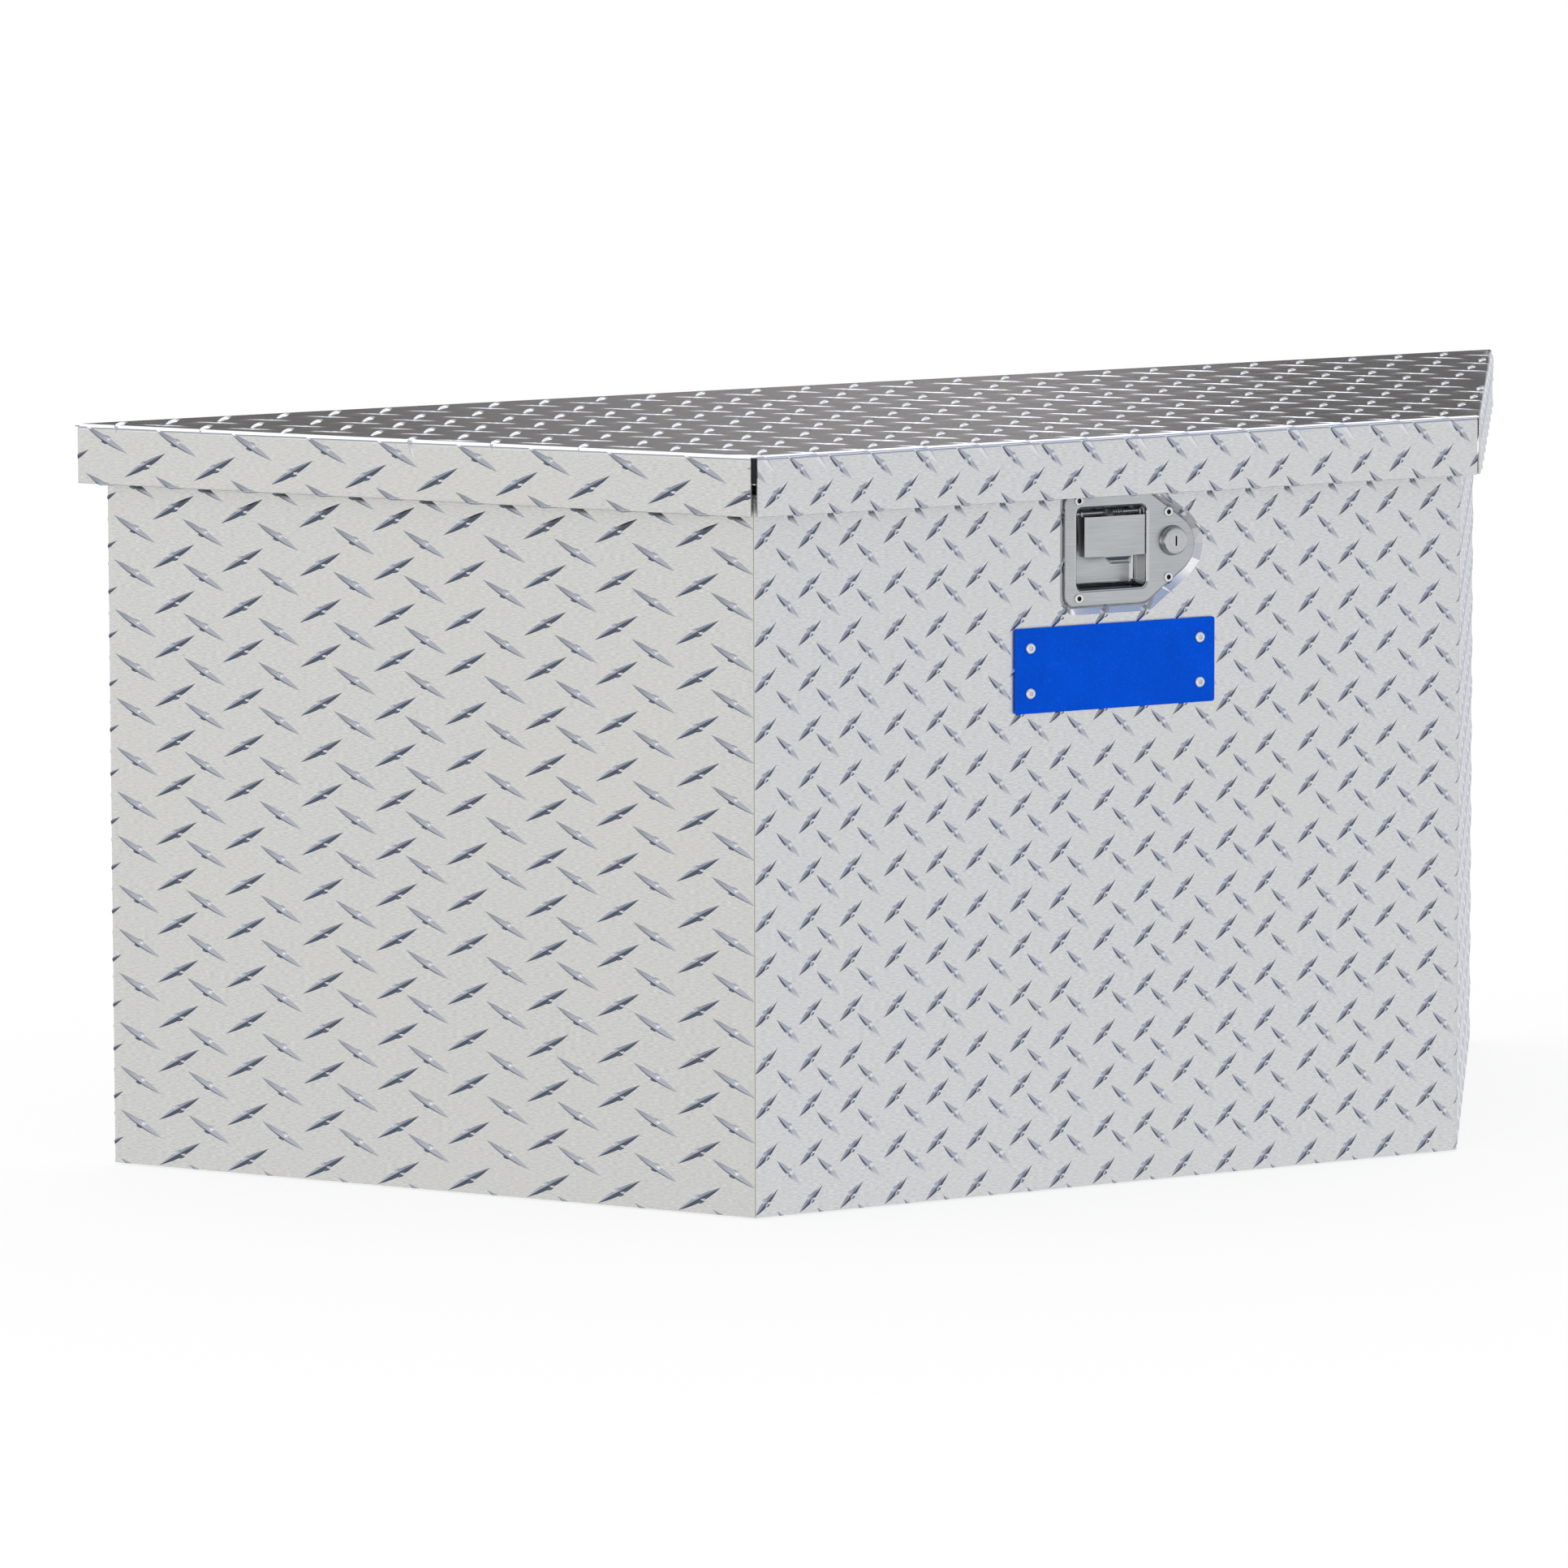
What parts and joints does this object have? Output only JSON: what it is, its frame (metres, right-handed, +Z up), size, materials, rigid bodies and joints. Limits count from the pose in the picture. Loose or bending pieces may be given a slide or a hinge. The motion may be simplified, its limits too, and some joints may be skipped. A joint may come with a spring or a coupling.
{
  "type": "trailer tongue tool box",
  "caption": "V-front tread-plate tool box for a trailer tongue, with a rear-hinged foam-core lid on gas struts and a keyed paddle latch in the narrow front.",
  "frame": {"origin": "middle of the floor's underside, under the middle of the overall box", "axes": "+X to the right seen from the latch, +Y to the hinge, +Z up"},
  "size_m": [1.2658, 0.4814, 0.562],
  "materials": {
    "tread_plate": "satin",
    "plain_aluminium": "satin",
    "stainless": "satin",
    "zinc_steel": "satin",
    "chrome": "polished",
    "black_enamel": "gloss",
    "rubber": "matte",
    "blue_plate": "gloss",
    "foam": "matte"
  },
  "bodies": {
    "tub": {"front_panel": "tread_plate", "left_side_panel": "tread_plate", "right_side_panel": "tread_plate", "rear_panel": "tread_plate", "floor_panel": "tread_plate", "rim_seal": "rubber", "latch_gasket": "rubber", "latch_housing": "stainless", "nameplate": "blue_plate", "lock_cylinder": "chrome", "paddle_pin": "zinc_steel", "paddle_spring": "zinc_steel", "hook_pin": "zinc_steel", "hook_spring": "zinc_steel", "hook_bracket": "zinc_steel", "lock_nut": "zinc_steel", "hinge_tub_leaf": "zinc_steel", "hinge_pin": "zinc_steel", "latch_rivet_1": "plain_aluminium", "nameplate_rivet_1": "plain_aluminium", "hinge_tub_rivet_1": "plain_aluminium", "latch_rivet_2": "plain_aluminium", "nameplate_rivet_2": "plain_aluminium", "hinge_tub_rivet_2": "plain_aluminium", "latch_rivet_3": "plain_aluminium", "nameplate_rivet_3": "plain_aluminium", "hinge_tub_rivet_3": "plain_aluminium", "latch_rivet_4": "plain_aluminium", "nameplate_rivet_4": "plain_aluminium", "hinge_tub_rivet_4": "plain_aluminium", "left_strut_tub_stud": "zinc_steel", "left_strut_tub_bracket": "zinc_steel", "right_strut_tub_stud": "zinc_steel", "right_strut_tub_bracket": "zinc_steel"},
    "lid": {"lid_skin": "tread_plate", "lid_core": "foam", "lid_liner": "plain_aluminium", "lid_keeper": "stainless", "hinge_lid_leaf": "zinc_steel", "hinge_lid_rivet_1": "plain_aluminium", "hinge_lid_rivet_2": "plain_aluminium", "hinge_lid_rivet_3": "plain_aluminium", "hinge_lid_rivet_4": "plain_aluminium", "left_strut_lid_bracket": "zinc_steel", "right_strut_lid_bracket": "zinc_steel"},
    "paddle": {"paddle": "stainless", "paddle_lever": "zinc_steel"},
    "hook": {"latch_hook": "zinc_steel"},
    "lock": {"lock_plug": "chrome", "lock_cam": "zinc_steel"},
    "left_strut_tube": {"left_strut_cylinder": "black_enamel"},
    "left_strut_piston": {"left_strut_rod": "chrome", "left_strut_lid_stud": "zinc_steel"},
    "right_strut_tube": {"right_strut_cylinder": "black_enamel"},
    "right_strut_piston": {"right_strut_rod": "chrome", "right_strut_lid_stud": "zinc_steel"}
  },
  "joints": [
    {"name": "lid_hinge", "type": "hinge", "parent": "tub", "child": "lid", "pos_m": [0, 0.23445, 0.5144], "axis": [-1, 0, 0], "range_deg": [0, 80]},
    {"name": "paddle_pull", "type": "hinge", "parent": "tub", "child": "paddle", "pos_m": [0, -0.21355, 0.5025], "axis": [-1, 0, 0], "range_deg": [0, 30], "stiffness_Nm_per_rad": 0.2},
    {"name": "hook_swing", "type": "hinge", "parent": "tub", "child": "hook", "pos_m": [0, -0.18255, 0.496], "axis": [1, 0, 0], "range_deg": [0, 30]},
    {"name": "lock_turn", "type": "hinge", "parent": "tub", "child": "lock", "pos_m": [0.0519, -0.22325, 0.4799], "axis": [0, 1, 0], "range_deg": [0, 90]},
    {"name": "left_strut_swing", "type": "hinge", "parent": "tub", "child": "left_strut_tube", "pos_m": [-0.34, 0.18445, 0.2544], "axis": [-1, 0, 0], "range_deg": [0, 41]},
    {"name": "left_strut_stroke", "type": "slide", "parent": "left_strut_tube", "child": "left_strut_piston", "axis": [0, -0.6388, 0.7694], "range_m": [0, 0.183]},
    {"name": "right_strut_swing", "type": "hinge", "parent": "tub", "child": "right_strut_tube", "pos_m": [0.34, 0.18445, 0.2544], "axis": [-1, 0, 0], "range_deg": [0, 41]},
    {"name": "right_strut_stroke", "type": "slide", "parent": "right_strut_tube", "child": "right_strut_piston", "axis": [0, -0.6388, 0.7694], "range_m": [0, 0.183]}
  ],
  "couplings": [
    {"joint": "hook_swing", "follows": "paddle_pull", "ratio": 1},
    {"joint": "left_strut_swing", "follows": "lid_hinge", "ratio": 0.50717},
    {"joint": "left_strut_stroke", "follows": "lid_hinge", "m_per_rad": 0.13064},
    {"joint": "right_strut_swing", "follows": "lid_hinge", "ratio": 0.50717},
    {"joint": "right_strut_stroke", "follows": "lid_hinge", "m_per_rad": 0.13064}
  ]
}
